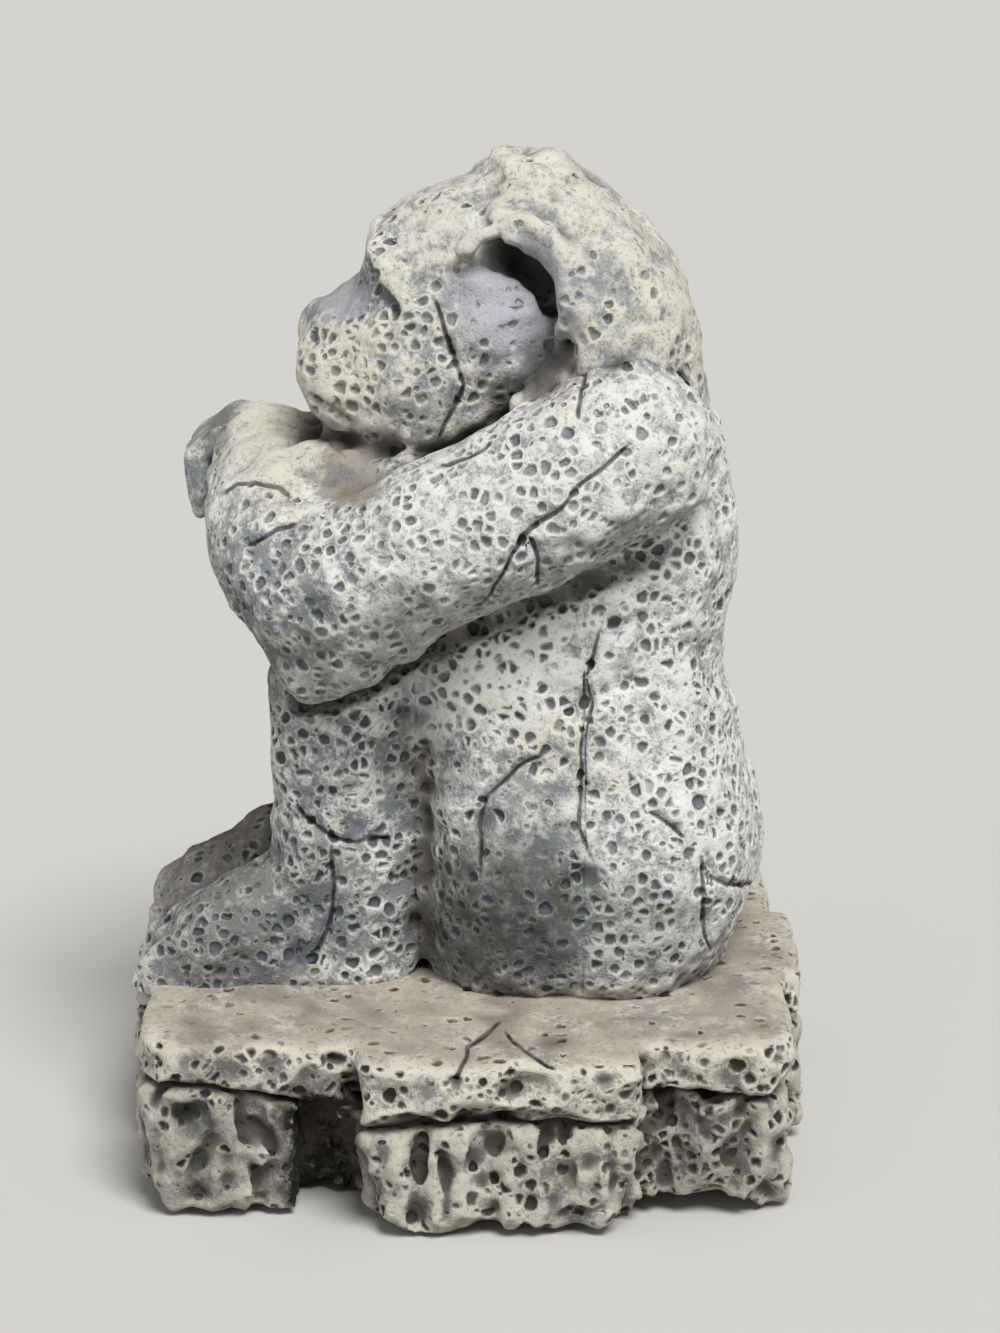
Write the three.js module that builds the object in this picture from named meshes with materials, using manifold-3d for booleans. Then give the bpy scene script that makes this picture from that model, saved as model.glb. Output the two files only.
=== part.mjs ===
// A seated gargoyle on a square two-course plinth, cast in stone-effect resin.
// The castings are glued together on round keys that seat in sockets.
// Millimetres, +Z up, the figure faces -Y and its left side is +X.
// The origin is under the middle of the plinth.
import * as THREE from "three";
import { LoftGeometry } from "three/addons/geometries/LoftGeometry.js";
import { mergeVertices } from "three/addons/utils/BufferGeometryUtils.js";
import Module from "manifold-3d";

const wasm = await Module();
wasm.setup();

// Joints between the castings
const GLUE_GAP = 0.3;
const NECK_KEY = { radius: 3, length: 5 };
const SHOULDER_KEY = { radius: 2.4, length: 4 };
const HIP_KEY = { radius: 2.4, length: 4 };
const KNEE_KEY = { radius: 1.6, length: 3 };
const ANKLE_KEY = { radius: 1.6, length: 3 };
const WRIST_KEY = { radius: 1.2, length: 2.5 };
const EAR_KEY = { radius: 1.3, length: 3, inset: 4.5, forward: 5.2 };
const SEAT_KEY = { radius: 2, length: 2.4, spread: 12 };
const SLAB_KEY = { radius: 2.5, length: 2.4, spread: 26 };

// Plinth
const SLAB_LENGTH = 47;
const SLAB_DEPTH = 44;
const SLAB_THICKNESS = 4;
const SLAB_EDGE_ROUNDING = 0.6;
const COURSE_HEIGHT = 9.4;
const COURSE_SETBACK = 0.4;
const CORNER_CUT = 1.6;
const SIDE_BLOCK = { width: 19, projection: 3.6, centre: 2.2 };
const END_BLOCK = { width: 13, projection: 1.5, centre: 0 };
const RECESS = { width: 5, depth: 4.6, height: 8.2 };
const CHIP = { width: 9, depth: 4, height: 2 };
// The side blocks narrow towards the floor
const BLOCK_TAPER = 2.6;
// Chisel gouges down the course, at these distances from its middle. They lean out and end at the bottom edge
const GOUGE = { radius: 1.7, depth: 1.3, lean: 7 };
const SIDE_GOUGES = [-19.4, -15, -3.2, 1.8, 6.6, 15.2, 19.6];
const END_GOUGES = [-18, -12.4, -3.4, 1.6, 10.4, 15.8];
const FELT_THICKNESS = 1;
const FELT_INSET = 7.5;
const FELT_POCKET_DEPTH = 0.6;

// Trunk and haunches: heights above the slab, front and back positions along Y, full width at the hips,
// and how far each other section is tucked in from the hips on both sides
const HIP_WIDTH = 28.4;
const SEAT = { height: 0, front: -3.4, back: 18.6, tuck: 0.95 };
const HIP = { height: 8.5, front: -4.2, back: 22.4, tuck: 0 };
const FLANK = { height: 16, front: -4.2, back: 20.4, tuck: 0.8 };
const WAIST = { height: 24, front: -5, back: 18.6, tuck: 2.3 };
const KNEE_CROWN = { height: 29, front: -10, back: 12, tuck: 4.2 };
const LAP_HEIGHT = 29.6;
const BLADES = { height: 34, front: -1, back: 19.9, tuck: 2.2 };
const SHOULDERS = { height: 40, front: 0, back: 18.4, tuck: 4.2 };
const NECK = { height: 44, front: 3, back: 16, tuck: 7.2 };
const HIP_SEAM = 8.6;

// Lower legs: the shins stand against the front of the haunches, and the feet against the shins
const SHIN = { depth: 10.4, inner: 0.9, outer: 9.6 };
const KNEE = { height: 28, outer: 11, rounding: 3.5 };
const FOOT = { length: 10.2, width: 8.4, splay: 0.75, instep: 10.8, arch: 8.7, toeHeight: 4.6 };
const HEEL = { depth: 3.6, width: 7.6 };
const TOE = { length: 6, swell: 0.3 };
const TOES = 3;

// Arms: points along the middle of the left arm, and the radius there
const SHOULDER = { x: 10.6, y: 11.5, height: 40.4, radius: 6.4 };
const BICEPS = { x: 12.4, y: 5.4, height: 37.6, radius: 6 };
const UPPER_ELBOW = { x: 12.2, y: -3, height: 33.4, radius: 5.8 };
const ELBOW = { x: 10, y: -9.8, height: 30, radius: 6.4 };
const FOREARM = { x: 5, y: -13.2, height: 33.3, radius: 5.7 };
// The point of the elbow stands out over the shin
const ELBOW_ROOT = { x: 11.6, y: -8.2, height: 26.8, radius: 3.4 };
const ELBOW_POINT = { x: 11, y: -10.8, height: 25.5, radius: 3 };
// The left wrist rests on top of the right elbow
const WRIST = { x: -4.5, y: -14.6, height: ELBOW.height + ELBOW.radius, radius: 4.3 };
// The right forearm passes below the left one
const TUCKED_FOREARM = { x: 4, y: -11.4, height: 29, radius: 5 };
const TUCKED_WRIST = { x: -2, y: -10.6, height: 29.6, radius: 4.2 };

// The left hand lies over the right elbow, past the end of the left wrist
const PALM = { reach: 4.7, forward: 1, width: 8.4, length: 8, tall: 6.4 };
const FINGER = { reach: 4.6, drop: 4.4, radius: 1.15, tip: 0.6 };
const FINGERS = 4;

// Head and ears
const CHIN = { height: 38.4, front: -9.2, back: 9, width: 10 };
const LIPS = { height: 41.8, front: -11.6, back: 13, width: 14.6 };
const MUZZLE = { height: 45.6, front: -12.3, back: 14.3, width: 17 };
const NOSE = { height: 48.5, front: -11.7, back: 14, width: 17.6 };
const BRIDGE = { height: 50.8, front: -8.6, back: 13.4, width: 17.6 };
const EYES = { height: 52, front: -6.7, back: 12.8, width: 17.2 };
const BROW = { height: 53.6, front: -7.2, back: 11.6, width: 16.4 };
const FOREHEAD = { height: 56.2, front: -5.2, back: 8.5, width: 13 };
const CROWN = { height: 57.9, front: -1.5, back: 5, width: 6.5 };
const HEAD_SQUARENESS = 2.2;
const NOSTRILS = { y: -10.2, height: 47.4, width: 6, length: 4.4, tall: 4.4 };
const CHEEK = { x: 4.6, y: -3.6, height: 44, width: 8.6, length: 12, tall: 11 };
const BROW_INNER = { x: 1.4, y: -6.2, height: 54.2, radius: 1.5 };
const BROW_ARCH = { x: 4.4, y: -5.4, height: 52.2, radius: 1.7 };
const BROW_OUTER = { x: 7.1, y: -3.4, height: 50.2, radius: 1.3 };

// The ears lie back like a hood and meet over the crown: how far they stand off each section of the head
const EAR_FRONT = 1.8;
const EAR_ROOT = { rise: -1.2, side: 2.2, behind: 4.4 };
const EAR_LOBE = { rise: 1.4, side: 2.8, behind: 2.4 };
const EAR_SHELL = { rise: 0, side: 2.4, behind: 2.5 };
const EAR_SHOULDER = { rise: 0.8, side: 1.5, behind: 1.8 };
const EAR_CROWN = { rise: 1.4, side: 0.7, behind: 1.4 };
const EAR_TIP = { rise: 2, side: -0.2, behind: 1.4 };
const EAR_SQUARENESS = 3.6;
const EAR_BOWL = { x: 11, y: 3.6, height: 49.4, width: 7.4, length: 9.6, tall: 15.6, lean: -14 };
const RIM_FOOT = { x: 10.2, y: 8.6, height: 49, radius: 1.3 };
const RIM_BACK = { x: 10.2, y: 7.2, height: 53.6, radius: 1.4 };
const RIM_TOP = { x: 8.6, y: 3.2, height: 56.2, radius: 1.4 };
const RIM_TIP = { x: 8.6, y: -0.2, height: 54.4, radius: 0.7 };

// How finely the round forms are faceted
const ROUND_SIDES = 16;
const FINE_SIDES = 8;
const ROUNDING_STEPS = 2;
const END_TILTS = [1.45, 1, 0.5];
const SECTION_SQUARENESS = 3;
const HUGE = 200;
const WELD = 1e-4;

const SIDES = [
  [1, "left"],
  [-1, "right"],
];

const slabTop = COURSE_HEIGHT + SLAB_THICKNESS;

// A closed three.js geometry as a solid that can be joined and cut
function solidOf(geometry) {
  const bare = new THREE.BufferGeometry().copy(geometry);
  bare.deleteAttribute("normal");
  bare.deleteAttribute("uv");
  const merged = mergeVertices(bare, WELD);
  return new wasm.Manifold(
    new wasm.Mesh({
      numProp: 3,
      vertProperties: new Float32Array(merged.attributes.position.array),
      triVerts: new Uint32Array(merged.index.array),
    }),
  );
}

function geometryOf(solid) {
  const mesh = solid.getMesh();
  const geometry = new THREE.BufferGeometry();
  geometry.setAttribute("position", new THREE.BufferAttribute(mesh.vertProperties, 3));
  geometry.setIndex(new THREE.BufferAttribute(mesh.triVerts, 1));
  geometry.computeVertexNormals();
  return geometry;
}

const join = (...solids) => solids.reduce((whole, next) => whole.add(next));
const cut = (solid, ...tools) => tools.reduce((left, tool) => left.subtract(tool), solid);

// Cutting a rounded form by its neighbours can leave crumbs, and the casting is the largest body
function casting(solid) {
  return solid.decompose().reduce((a, b) => (a.volume() > b.volume() ? a : b));
}

function block(low, high) {
  const size = new THREE.Vector3().subVectors(high, low);
  const middle = new THREE.Vector3().addVectors(low, high).multiplyScalar(0.5);
  const geometry = new THREE.BoxGeometry(size.x, size.y, size.z);
  return solidOf(geometry.translate(middle.x, middle.y, middle.z));
}

// All of space on one side of a plane across X or Y
function beyond(axis, place, direction) {
  const low = new THREE.Vector3(-HUGE, -HUGE, -HUGE);
  const high = new THREE.Vector3(HUGE, HUGE, HUGE);
  (direction > 0 ? low : high)[axis] = place;
  return block(low, high);
}

// An ellipsoid lump of clay, leaned about X in degrees, with sizes given as full lengths
function lump({ x = 0, y, height, width, length, tall, lean = 0 }, grow = 0) {
  const geometry = new THREE.SphereGeometry(1, ROUND_SIDES, ROUND_SIDES / 2 + 2);
  geometry.scale(width / 2 + grow, length / 2 + grow, tall / 2 + grow);
  geometry.rotateX(THREE.MathUtils.degToRad(lean));
  return solidOf(geometry.translate(x, y, slabTop + height));
}

// A ring of points with flattened sides, from a round section to a nearly square one
function ring(centre, across, along, squareness = 2, sides = ROUND_SIDES) {
  const points = [];
  for (let i = 0; i < sides; i += 1) {
    const angle = (2 * Math.PI * i) / sides;
    const bend = (value) => Math.sign(value) * Math.abs(value) ** (2 / squareness);
    points.push(
      centre
        .clone()
        .addScaledVector(across, bend(Math.cos(angle)))
        .addScaledVector(along, bend(Math.sin(angle))),
    );
  }
  return points;
}

const loft = (sections) => solidOf(new LoftGeometry(sections, { capStart: true, capEnd: true }));

// A form built of level sections, as { height, front, back, inner, outer } from the bottom up
function stack(stations, grow = 0, squareness = SECTION_SQUARENESS) {
  return loft(
    stations.map(({ height, front, back, inner, outer }) =>
      ring(
        new THREE.Vector3((inner + outer) / 2, (front + back) / 2, slabTop + height),
        new THREE.Vector3((outer - inner) / 2 + grow, 0, 0),
        new THREE.Vector3(0, (back - front) / 2 + grow, 0),
        squareness,
      ),
    ),
  );
}

// A round limb with rounded ends that follows a smooth curve through its points
function limb(points, grow = 0, sides = ROUND_SIDES) {
  const places = points.map(({ x, y, height }) => new THREE.Vector3(x, y, slabTop + height));
  const curve = new THREE.CatmullRomCurve3(places);
  const steps = 2 * (points.length - 1);
  const frames = curve.computeFrenetFrames(steps);
  const sections = [];
  // Each section is turned about the curve, and the tilted ones past its ends close it with a dome
  const addSection = (i, tilt = 0) => {
    const widest = (points[Math.floor(i / 2)].radius + points[Math.ceil(i / 2)].radius) / 2 + grow;
    const radius = widest * Math.cos(tilt);
    const centre = curve.getPoint(i / steps).addScaledVector(frames.tangents[i], widest * Math.sin(tilt));
    const across = frames.normals[i].clone().multiplyScalar(radius);
    const along = frames.binormals[i].clone().multiplyScalar(radius);
    sections.push(ring(centre, across, along, 2, sides));
  };
  END_TILTS.forEach((tilt) => addSection(0, -tilt));
  for (let i = 0; i <= steps; i += 1) addSection(i);
  END_TILTS.toReversed().forEach((tilt) => addSection(steps, tilt));
  return loft(sections);
}

const back = new THREE.Vector3(0, 1, 0);
const up = new THREE.Vector3(0, 0, 1);
const outward = (side) => new THREE.Vector3(side, 0, 0);

// A round key between two castings. The socket that takes it is wider and longer by the glue gap
function key(start, direction, { radius, length }, grow = 0) {
  const whole = 2 * (length + grow);
  const geometry = new THREE.CylinderGeometry(radius + grow, radius + grow, whole, ROUND_SIDES);
  geometry.applyQuaternion(new THREE.Quaternion().setFromUnitVectors(back, direction));
  return solidOf(geometry.translate(start.x, start.y, start.z));
}

const GREY_STONE = { color: 0x9a958c, roughness: 0.85, metalness: 0 };
const DUSTY_STONE = { color: 0x8f8474, roughness: 0.9, metalness: 0 };
const GREEN_FELT = { color: 0x2e3a30, roughness: 1, metalness: 0 };

const gargoyle = new THREE.Group();
function addCasting(name, solid, finish = GREY_STONE) {
  const mesh = new THREE.Mesh(geometryOf(casting(solid)), new THREE.MeshStandardMaterial(finish));
  mesh.name = name;
  gargoyle.add(mesh);
}

// Plinth outline, with a block standing out in the middle of each side
function plinthOutline(inset) {
  const x = SLAB_DEPTH / 2 - inset;
  const y = SLAB_LENGTH / 2 - inset;
  const span = ({ centre, width }) => ({ from: centre - width / 2, to: centre + width / 2 });
  const side = span(SIDE_BLOCK);
  const end = span(END_BLOCK);
  const sideX = x + SIDE_BLOCK.projection;
  const endY = y + END_BLOCK.projection;
  const cornerX = x - CORNER_CUT;
  const cornerY = y - CORNER_CUT;
  const points = [
    [x, -cornerY], [x, side.from], [sideX, side.from], [sideX, side.to], [x, side.to], [x, cornerY],
    [cornerX, y], [end.to, y], [end.to, endY], [end.from, endY], [end.from, y], [-cornerX, y],
    [-x, cornerY], [-x, side.to], [-sideX, side.to], [-sideX, side.from], [-x, side.from], [-x, -cornerY],
    [-cornerX, -y], [end.from, -y], [end.from, -endY], [end.to, -endY], [end.to, -y], [cornerX, -y],
  ];
  return new THREE.Shape(points.map(([px, py]) => new THREE.Vector2(px, py)));
}

function plinthLayer(bottom, height, inset) {
  const rounding = SLAB_EDGE_ROUNDING;
  const geometry = new THREE.ExtrudeGeometry(plinthOutline(inset + rounding), {
    depth: height - 2 * rounding,
    bevelThickness: rounding,
    bevelSize: rounding,
    bevelSegments: ROUNDING_STEPS,
  });
  return solidOf(geometry.translate(0, 0, bottom + rounding));
}

const slabPlace = (side) => new THREE.Vector3(0, (side * SLAB_KEY.spread) / 2, COURSE_HEIGHT);
const slabKeys = (grow) => [-1, 1].map((side) => key(slabPlace(side), up, SLAB_KEY, grow));
const seatPlace = (side) =>
  new THREE.Vector3((side * SEAT_KEY.spread) / 2, (HIP_SEAM + SEAT.back) / 2, slabTop);
const seatKeys = (grow) => [-1, 1].map((side) => key(seatPlace(side), up, SEAT_KEY, grow));
const feltSize = { x: SLAB_DEPTH / 2 - FELT_INSET, y: SLAB_LENGTH / 2 - FELT_INSET };
const stoneBottom = FELT_THICKNESS - FELT_POCKET_DEPTH;

function felt(grow = 0) {
  const corner = new THREE.Vector3(feltSize.x + grow, feltSize.y + grow, FELT_THICKNESS);
  return block(new THREE.Vector3(-corner.x, -corner.y, -grow), corner);
}

// What is cut off one flank of a side block, so that it leans in by the taper towards the floor
function flankWedge(side, flank) {
  const edge = SIDE_BLOCK.centre + flank * (SIDE_BLOCK.width / 2 + SLAB_EDGE_ROUNDING);
  const geometry = new THREE.BoxGeometry(SIDE_BLOCK.projection, RECESS.width, HUGE);
  geometry.translate((side * (SLAB_DEPTH + SIDE_BLOCK.projection)) / 2, (flank * RECESS.width) / 2, 0);
  geometry.rotateX(-flank * Math.atan(BLOCK_TAPER / COURSE_HEIGHT));
  return solidOf(geometry.translate(0, edge, COURSE_HEIGHT));
}

// A gouge down one face of the course, in the block where there is one
function gouge(place, direction, { centre, width, projection }, half) {
  const face = half - COURSE_SETBACK + (Math.abs(place - centre) < width / 2 ? projection : 0);
  const across = new THREE.Vector3().crossVectors(up, direction);
  const lean = new THREE.Quaternion().setFromAxisAngle(across, -THREE.MathUtils.degToRad(GOUGE.lean));
  const top = direction.clone().multiplyScalar(face + GOUGE.radius - GOUGE.depth);
  top.addScaledVector(direction.x ? back : outward(1), place).setZ(COURSE_HEIGHT);
  const geometry = new THREE.CylinderGeometry(GOUGE.radius, GOUGE.radius, HUGE, FINE_SIDES);
  geometry.rotateX(Math.PI / 2).applyQuaternion(lean);
  return solidOf(geometry.translate(top.x, top.y, top.z));
}

// Lower course: the recesses beside the side blocks and the chipped lower edges are broken masonry
function plinthCourse() {
  const layer = plinthLayer(stoneBottom, COURSE_HEIGHT - stoneBottom, COURSE_SETBACK);
  const faceX = SLAB_DEPTH / 2 + SIDE_BLOCK.projection;
  const recessEnd = SIDE_BLOCK.centre - SIDE_BLOCK.width / 2;
  const chipStart = SIDE_BLOCK.centre + SIDE_BLOCK.width / 2;
  const tools = [];
  for (const side of [-1, 1]) {
    const between = (depth, height, from, width) => {
      const inner = side * (SLAB_DEPTH / 2 - depth);
      const outer = side * faceX;
      return block(
        new THREE.Vector3(Math.min(inner, outer), from, 0),
        new THREE.Vector3(Math.max(inner, outer), from + width, height),
      );
    };
    tools.push(between(RECESS.depth, RECESS.height, recessEnd - RECESS.width, RECESS.width));
    tools.push(between(CHIP.depth, CHIP.height, chipStart, CHIP.width));
    tools.push(flankWedge(side, -1), flankWedge(side, 1));
    tools.push(...SIDE_GOUGES.map((y) => gouge(y, outward(side), SIDE_BLOCK, SLAB_DEPTH / 2)));
    const facing = back.clone().multiplyScalar(side);
    tools.push(...END_GOUGES.map((x) => gouge(x, facing, END_BLOCK, SLAB_LENGTH / 2)));
  }
  return join(cut(layer, ...tools, felt(GLUE_GAP)), ...slabKeys(0));
}

addCasting("felt_pad", felt(), GREEN_FELT);
addCasting("plinth_course", plinthCourse(), DUSTY_STONE);
addCasting(
  "plinth_slab",
  cut(plinthLayer(COURSE_HEIGHT, SLAB_THICKNESS, 0), ...slabKeys(GLUE_GAP), ...seatKeys(GLUE_GAP)),
  DUSTY_STONE,
);

// Level sections that are as wide to the left as to the right
const centred = ({ width, ...rest }) => ({ inner: -width / 2, outer: width / 2, ...rest });
const tucked = ({ tuck, ...rest }) => centred({ width: HIP_WIDTH - 2 * tuck, ...rest });

// Haunches and trunk share their lower sections, so the skin runs on across the hip seam
const haunches = (grow = 0) => stack([SEAT, HIP, FLANK, WAIST, KNEE_CROWN].map(tucked), grow);
const trunk = (grow = 0) =>
  stack([SEAT, HIP, FLANK, WAIST, BLADES, SHOULDERS, NECK].map(tucked), grow);
// The lap is the space in front of the hip seam and below the belly, which the thighs fill
const lap = (shrink = 0) =>
  block(
    new THREE.Vector3(-HUGE, -HUGE, -HUGE),
    new THREE.Vector3(HUGE, HIP_SEAM - shrink, slabTop + LAP_HEIGHT - shrink),
  );

const mirrored = ({ x, ...rest }, side) => ({ x: side * x, ...rest });

const neckPlace = new THREE.Vector3(0, (NECK.front + NECK.back) / 2, slabTop + NECK.height);
const neckKey = (grow) => key(neckPlace, up, NECK_KEY, grow);

function shoulderKey(side, grow) {
  const depth = tucked(BLADES).outer - SHOULDER_KEY.length;
  const height = (BLADES.height + SHOULDERS.height) / 2;
  const place = new THREE.Vector3(side * depth, SHOULDER.y, slabTop + height);
  return key(place, outward(side), SHOULDER_KEY, grow);
}

function hipKey(side, grow) {
  const place = new THREE.Vector3((side * HIP_WIDTH) / 4, HIP_SEAM, slabTop + HIP.height);
  return key(place, back, HIP_KEY, grow);
}

const body = cut(trunk(), lap());
const bodySockets = [-1, 1].flatMap((side) => [shoulderKey(side, GLUE_GAP), hipKey(side, GLUE_GAP)]);
addCasting("torso", cut(join(body, neckKey(0), ...seatKeys(0)), ...bodySockets));

// Lower legs
const shinFront = HIP.front - SHIN.depth;
const shinMiddle = (SHIN.inner + SHIN.outer) / 2;

function shin(side, grow = 0) {
  const tip = KNEE.rounding;
  const calf = { front: shinFront, back: HIP.front + GLUE_GAP, inner: SHIN.inner, outer: SHIN.outer };
  const wide = { ...calf, outer: KNEE.outer };
  const cap = { ...wide, front: calf.front + tip, back: calf.back - tip, outer: wide.outer - tip / 2 };
  const stations = [
    { ...calf, height: 0 },
    { ...calf, height: KNEE.height / 2 },
    { ...wide, height: KNEE.height - tip },
    { ...cap, height: KNEE.height },
  ];
  const turned = ({ inner, outer, ...rest }) =>
    side > 0 ? { inner, outer, ...rest } : { inner: -outer, outer: -inner, ...rest };
  return stack(stations.map(turned), grow);
}

function kneeKey(side, grow) {
  const height = (HIP.height + FLANK.height) / 2;
  const place = new THREE.Vector3(side * shinMiddle, HIP.front, slabTop + height);
  return key(place, back, KNEE_KEY, grow);
}

function ankleKey(side, grow) {
  const place = new THREE.Vector3(side * shinMiddle, shinFront, slabTop + FOOT.toeHeight);
  return key(place, back, ANKLE_KEY, grow);
}

// A foot is a wedge from the instep down to the toes, which are rounded lumps side by side
function foot(side) {
  const middle = shinMiddle + FOOT.splay;
  const heel = shinFront + HEEL.depth;
  const toeRoot = shinFront - FOOT.length + TOE.length;
  const wedgeSection = (y, tall, width) =>
    ring(
      new THREE.Vector3(side * middle, y, slabTop),
      new THREE.Vector3(width / 2, 0, 0),
      new THREE.Vector3(0, 0, tall),
      SECTION_SQUARENESS,
    );
  const wedge = loft([
    wedgeSection(heel, FOOT.instep, HEEL.width),
    wedgeSection((heel + toeRoot) / 2, FOOT.arch, FOOT.width),
    wedgeSection(toeRoot - TOE.length / 2, FOOT.toeHeight, FOOT.width),
  ]);
  const spacing = FOOT.width / TOES;
  const toes = Array.from({ length: TOES }, (_, i) =>
    lump({
      x: side * (middle + spacing * (i - (TOES - 1) / 2)),
      y: toeRoot,
      height: 0,
      width: spacing + TOE.swell,
      length: TOE.length * 2,
      tall: (FOOT.toeHeight + TOE.swell) * 2,
    }),
  );
  const sole = block(new THREE.Vector3(-HUGE, -HUGE, -HUGE), new THREE.Vector3(HUGE, HUGE, slabTop));
  return cut(join(wedge, ...toes), sole);
}

for (const [side, name] of SIDES) {
  const half = beyond("x", (side * GLUE_GAP) / 2, side);
  const thigh = join(haunches(), trunk()).intersect(lap(GLUE_GAP)).intersect(half);
  addCasting(`${name}_thigh`, cut(join(thigh, hipKey(side, 0)), kneeKey(side, GLUE_GAP)));
  const lowerLeg = cut(shin(side), haunches(GLUE_GAP));
  addCasting(`${name}_shin`, cut(join(lowerLeg, kneeKey(side, 0)), ankleKey(side, GLUE_GAP)));
  addCasting(`${name}_foot`, join(cut(foot(side), shin(side, GLUE_GAP)), ankleKey(side, 0)));
}

// Arms: the left forearm crosses over the right one
const leftPath = [SHOULDER, BICEPS, UPPER_ELBOW, ELBOW, FOREARM, WRIST];
const rightPath = [SHOULDER, BICEPS, UPPER_ELBOW, ELBOW, TUCKED_FOREARM, TUCKED_WRIST];
const turned = (points, side) => points.map((point) => mirrored(point, side));
const elbow = (side, grow) => limb(turned([ELBOW_ROOT, ELBOW_POINT], side), grow, FINE_SIDES);
const leftArm = (grow = 0) => join(limb(leftPath, grow), elbow(1, grow));
const rightArm = (grow = 0) => join(limb(turned(rightPath, -1), grow), elbow(-1, grow));

const wristPlace = new THREE.Vector3(WRIST.x - WRIST.radius, WRIST.y, slabTop + WRIST.height);
const wristKey = (grow) => key(wristPlace, outward(-1), WRIST_KEY, grow);

const knees = [haunches(GLUE_GAP), shin(1, GLUE_GAP), shin(-1, GLUE_GAP)];
const leftLimb = cut(leftArm(), trunk(GLUE_GAP), ...knees);
const rightLimb = cut(rightArm(), trunk(GLUE_GAP), ...knees, leftArm(GLUE_GAP));
addCasting("left_arm", cut(join(leftLimb, shoulderKey(1, 0)), wristKey(GLUE_GAP)));
addCasting("right_arm", join(rightLimb, shoulderKey(-1, 0)));

// Fingers hang over the front of the palm, side by side
const palm = { x: WRIST.x - PALM.reach, y: WRIST.y - PALM.forward, height: WRIST.height };

function finger(i) {
  const x = palm.x + (PALM.width / FINGERS) * (i - (FINGERS - 1) / 2);
  const tipY = palm.y - FINGER.reach;
  const { radius, drop, tip } = FINGER;
  const knuckle = { x, y: palm.y - PALM.length / 4, height: palm.height + PALM.tall / 4, radius };
  const bend = { x, y: tipY, height: palm.height, radius };
  const claw = { x, y: tipY, height: palm.height - drop, radius: tip };
  return limb([knuckle, bend, claw], 0, FINE_SIDES);
}

const fingers = Array.from({ length: FINGERS }, (_, i) => finger(i));
const hand = join(lump({ ...PALM, ...palm }), ...fingers);
addCasting("left_hand", cut(join(cut(hand, leftArm(GLUE_GAP)), wristKey(0)), rightArm(GLUE_GAP)));

// Head: the sections of the face run together with the nostrils, cheeks and brow ridges
const bothSides = (points, grow) =>
  [1, -1].map((side) => limb(points.map((point) => mirrored(point, side)), grow, FINE_SIDES));
const faceStations = [CHIN, LIPS, MUZZLE, NOSE, BRIDGE, EYES, BROW, FOREHEAD, CROWN].map(centred);
const head = (grow = 0) =>
  join(
    stack(faceStations, grow, HEAD_SQUARENESS),
    ...bothSides([BROW_INNER, BROW_ARCH, BROW_OUTER], grow),
    ...[NOSTRILS, CHEEK, mirrored(CHEEK, -1)].map((part) => lump(part, grow)),
  );
const shoulderSockets = [-1, 1].map((side) => shoulderKey(side, GLUE_GAP));
const neighbours = [trunk(GLUE_GAP), leftArm(GLUE_GAP), rightArm(GLUE_GAP), ...shoulderSockets];

// Ears: a hood that stands off the sections of the head, split between the two sides
const standOff = (section, { rise, side, behind }) =>
  centred({
    height: section.height + rise,
    front: EAR_FRONT,
    back: section.back + behind,
    width: section.width + 2 * side,
  });
const hoodStations = [
  standOff(LIPS, EAR_ROOT),
  standOff(MUZZLE, EAR_LOBE),
  standOff(BRIDGE, EAR_SHELL),
  standOff(BROW, EAR_SHOULDER),
  standOff(FOREHEAD, EAR_CROWN),
  standOff(CROWN, EAR_TIP),
];
const hood = () => stack(hoodStations, 0, EAR_SQUARENESS);

function earKey(side, grow) {
  const shell = standOff(BRIDGE, EAR_SHELL);
  const x = shell.outer - EAR_KEY.inset;
  const place = new THREE.Vector3(side * x, shell.back - EAR_KEY.forward, slabTop + shell.height);
  return key(place, outward(side), EAR_KEY, grow);
}

const earSockets = [-1, 1].map((side) => earKey(side, GLUE_GAP));
addCasting("head", cut(head(), ...neighbours, neckKey(GLUE_GAP), ...earSockets));
for (const [side, name] of SIDES) {
  const half = beyond("x", (side * GLUE_GAP) / 2, side);
  const bowled = cut(hood(), lump(mirrored(EAR_BOWL, side)));
  const rims = bothSides([RIM_FOOT, RIM_BACK, RIM_TOP, RIM_TIP]);
  const shell = cut(join(bowled, ...rims).intersect(half), head(GLUE_GAP));
  addCasting(`${name}_ear`, cut(join(shell, earKey(side, 0)), ...neighbours));
}

export default gargoyle;
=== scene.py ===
import math

import bpy
import numpy as np
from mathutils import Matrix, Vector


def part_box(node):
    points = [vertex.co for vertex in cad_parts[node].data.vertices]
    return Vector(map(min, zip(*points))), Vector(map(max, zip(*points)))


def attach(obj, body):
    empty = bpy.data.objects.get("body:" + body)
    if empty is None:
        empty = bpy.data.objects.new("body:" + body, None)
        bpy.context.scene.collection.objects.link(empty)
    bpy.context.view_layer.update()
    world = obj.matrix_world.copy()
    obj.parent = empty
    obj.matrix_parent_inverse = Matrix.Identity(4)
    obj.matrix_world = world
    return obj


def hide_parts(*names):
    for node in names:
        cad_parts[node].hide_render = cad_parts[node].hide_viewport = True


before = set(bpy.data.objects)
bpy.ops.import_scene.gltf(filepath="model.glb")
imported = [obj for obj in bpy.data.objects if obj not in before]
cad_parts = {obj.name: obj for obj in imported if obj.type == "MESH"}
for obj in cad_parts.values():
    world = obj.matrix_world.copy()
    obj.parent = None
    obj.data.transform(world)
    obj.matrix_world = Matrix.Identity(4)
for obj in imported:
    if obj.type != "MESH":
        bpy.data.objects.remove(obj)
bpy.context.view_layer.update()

import openvdb as vdb
from mathutils import Vector

print("frame loaded,", len(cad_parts), "solids")

metre = 1000.0  # sizes here are in mm, and Blender's are in metres
tiny = 1e-12  # keeps a division off zero

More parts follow.
